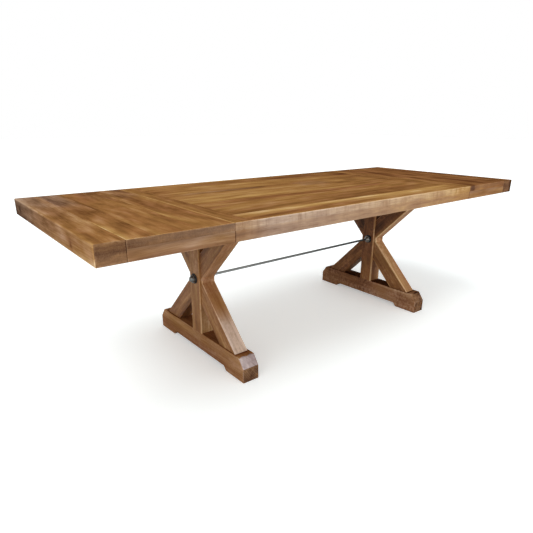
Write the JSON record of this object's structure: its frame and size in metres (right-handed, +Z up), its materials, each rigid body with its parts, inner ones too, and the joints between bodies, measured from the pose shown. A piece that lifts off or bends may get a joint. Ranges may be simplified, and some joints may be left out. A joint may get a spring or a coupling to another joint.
{
  "type": "extendable trestle dining table",
  "caption": "Extendable rustic dining table: planked top with two end leaves on pull-out runners, on two K-braced trestles joined by an iron tie rod.",
  "frame": {"origin": "on the floor under the middle of the table", "axes": "+X along the table to the right-hand leaf, -Y to the front, +Z up"},
  "size_m": [2.6, 1.04, 0.762],
  "materials": {
    "main_boards": "oiled hardwood planks, satin",
    "end_boards": "oiled hardwood, grain across the table, satin",
    "main_aprons": "oiled hardwood edge strips, satin",
    "leaf_boards": "oiled hardwood planks, grain across the table, satin",
    "leaf_beams": "oiled hardwood, satin",
    "leaf_aprons": "oiled hardwood edge strips, satin",
    "trestles": "oiled dark hardwood, satin",
    "framing": "planed hardwood, unfinished",
    "runners": "planed hardwood, waxed",
    "pegs": "turned beech, unfinished",
    "tie_rod": "black oiled iron",
    "rod_hardware": "black forged iron, worn bright on the crowns"
  },
  "bodies": {
    "table": {"cross_battens": "framing", "guide_rail_back_inner": "framing", "guide_rail_back_outer": "framing", "guide_rail_front_inner": "framing", "guide_rail_front_outer": "framing", "main_apron_back": "main_aprons", "main_apron_front": "main_aprons", "main_board_1": "main_boards", "main_board_2": "main_boards", "main_board_3": "main_boards", "main_board_4": "main_boards", "main_board_5": "main_boards", "main_board_6": "main_boards", "main_end_apron_left": "main_aprons", "main_end_apron_right": "main_aprons", "main_end_board_left": "end_boards", "main_end_board_right": "end_boards", "rod_nuts": "rod_hardware", "rod_washers": "rod_hardware", "runner_keeper_left": "framing", "runner_keeper_right": "framing", "runner_stop_pegs": "pegs", "tie_rod": "tie_rod", "trestle_left_foot": "trestles", "trestle_left_lower_brace_back": "trestles", "trestle_left_lower_brace_front": "trestles", "trestle_left_post": "trestles", "trestle_left_top_rail": "trestles", "trestle_left_upper_brace_back": "trestles", "trestle_left_upper_brace_front": "trestles", "trestle_right_foot": "trestles", "trestle_right_lower_brace_back": "trestles", "trestle_right_lower_brace_front": "trestles", "trestle_right_post": "trestles", "trestle_right_top_rail": "trestles", "trestle_right_upper_brace_back": "trestles", "trestle_right_upper_brace_front": "trestles"},
    "leaf_left": {"leaf_left_apron_back": "leaf_aprons", "leaf_left_apron_front": "leaf_aprons", "leaf_left_batten": "framing", "leaf_left_board_1": "leaf_boards", "leaf_left_board_2": "leaf_boards", "leaf_left_board_3": "leaf_boards", "leaf_left_dowels": "pegs", "leaf_left_end_beam": "leaf_beams"},
    "runner_left_front": {"runner_left_front": "runners"},
    "runner_left_back": {"runner_left_back": "runners"},
    "leaf_right": {"leaf_right_apron_back": "leaf_aprons", "leaf_right_apron_front": "leaf_aprons", "leaf_right_batten": "framing", "leaf_right_board_1": "leaf_boards", "leaf_right_board_2": "leaf_boards", "leaf_right_board_3": "leaf_boards", "leaf_right_dowels": "pegs", "leaf_right_end_beam": "leaf_beams"},
    "runner_right_front": {"runner_right_front": "runners"},
    "runner_right_back": {"runner_right_back": "runners"}
  },
  "joints": [
    {"name": "leaf_left_slide", "type": "slide", "parent": "table", "child": "leaf_left", "axis": [-1, 0, 0], "range_m": [0, 0.12]},
    {"name": "runner_left_front_slide", "type": "slide", "parent": "table", "child": "runner_left_front", "axis": [1, 0, 0], "range_m": [0, 0.39]},
    {"name": "runner_left_back_slide", "type": "slide", "parent": "table", "child": "runner_left_back", "axis": [1, 0, 0], "range_m": [0, 0.39]},
    {"name": "leaf_right_slide", "type": "slide", "parent": "table", "child": "leaf_right", "axis": [1, 0, 0], "range_m": [0, 0.12]},
    {"name": "runner_right_front_slide", "type": "slide", "parent": "table", "child": "runner_right_front", "axis": [-1, 0, 0], "range_m": [0, 0.39]},
    {"name": "runner_right_back_slide", "type": "slide", "parent": "table", "child": "runner_right_back", "axis": [-1, 0, 0], "range_m": [0, 0.39]}
  ]
}
